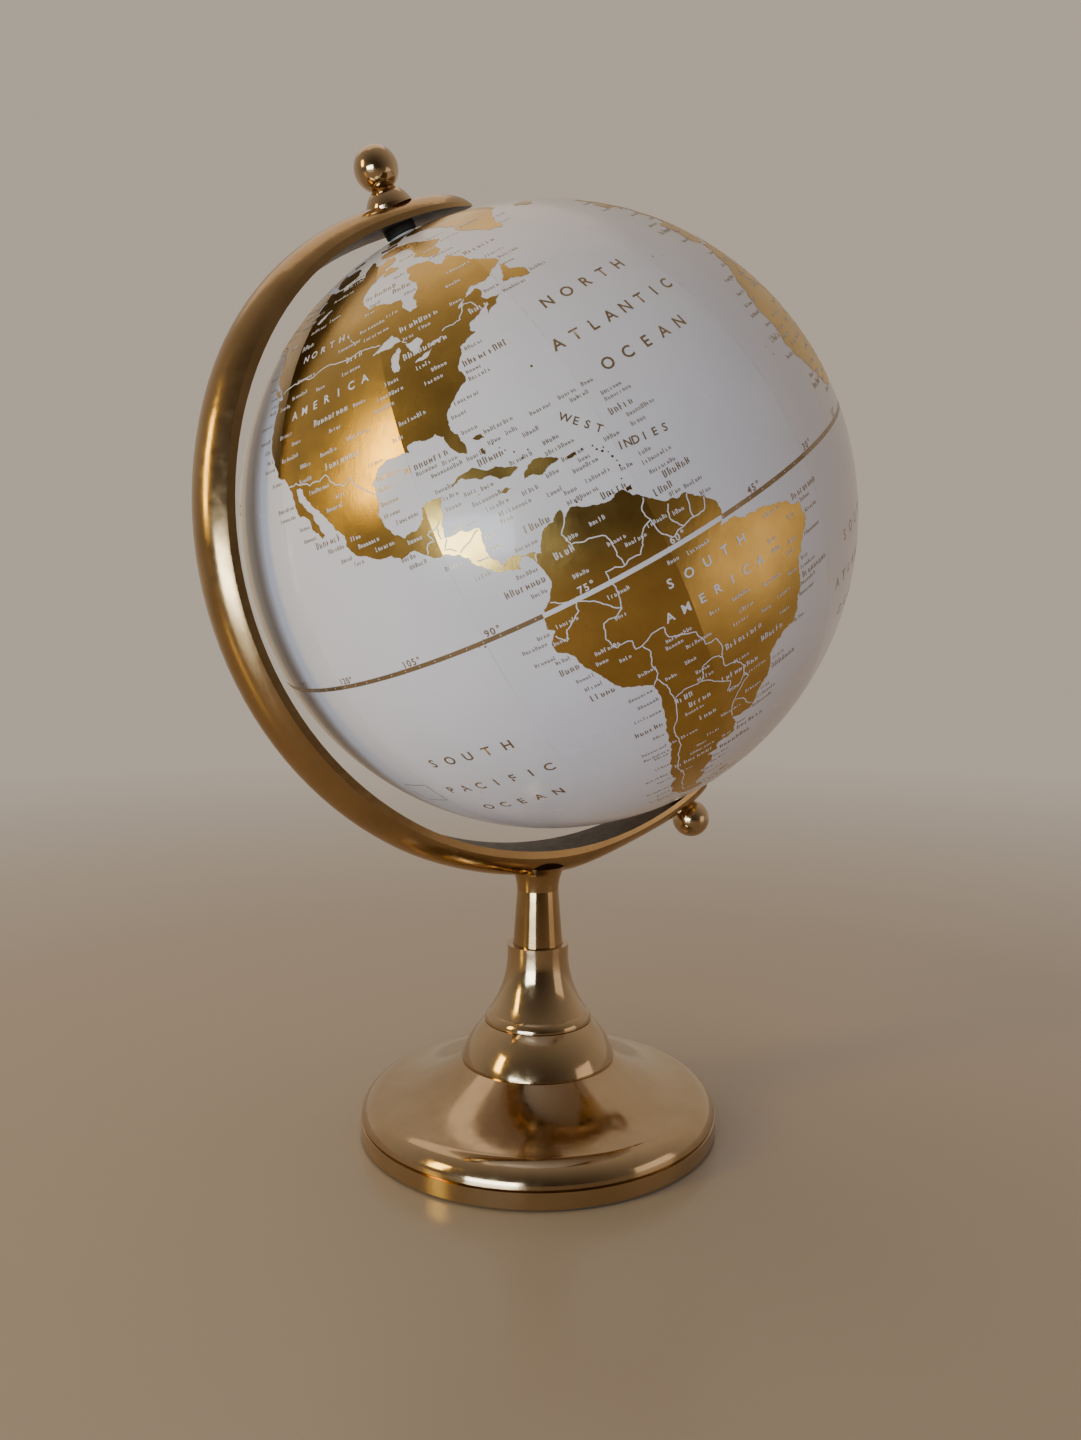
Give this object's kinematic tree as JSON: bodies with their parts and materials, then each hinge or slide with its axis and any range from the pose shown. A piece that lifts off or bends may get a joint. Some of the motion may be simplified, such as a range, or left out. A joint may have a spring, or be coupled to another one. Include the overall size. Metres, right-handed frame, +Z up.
{
  "type": "desktop globe on stand",
  "caption": "Desktop globe with raised foil land areas, turning on a tilted axle in a one-sided curved metal arm on a round turned foot.",
  "frame": {"origin": "on the table, at the centre of the foot's underside, on the axis of the stem", "axes": "+Z up; the arm stands in the XZ plane with its back towards -X and its open side towards +X"},
  "size_m": [0.2205, 0.2032, 0.3185],
  "materials": {
    "cast_metal": "polished cast aluminium, champagne gold, fine polishing marks",
    "steel": "zinc plated",
    "globe_skin": "gloss white",
    "map_foil": "stamped foil, light gold, slightly wrinkled",
    "map_print": "printed lines and letters",
    "bush_plastic": "natural",
    "spacer_plastic": "black",
    "ring_board": "plain",
    "felt": "black felt"
  },
  "bodies": {
    "stand": {"base_dish": "cast_metal", "base_pad": "felt", "bell_cup": "cast_metal", "bell_collar": "cast_metal", "meridian_arm": "cast_metal", "tie_rod": "steel", "tie_washer": "steel", "spring_washer": "steel", "tie_nut": "steel", "axle_rod": "steel", "north_cone": "cast_metal", "north_ball": "cast_metal", "south_ball": "cast_metal", "north_spacer": "spacer_plastic", "south_spacer": "spacer_plastic"},
    "globe": {"globe_north": "globe_skin", "globe_south": "globe_skin", "joint_ring": "ring_board", "north_bush": "bush_plastic", "south_bush": "bush_plastic"}
  },
  "joints": [
    {"name": "globe_spin", "type": "hinge", "parent": "stand", "child": "globe", "pos_m": [0.0041, 0, 0.2068], "axis": [-0.5225, 0, 0.8526], "continuous": true}
  ]
}
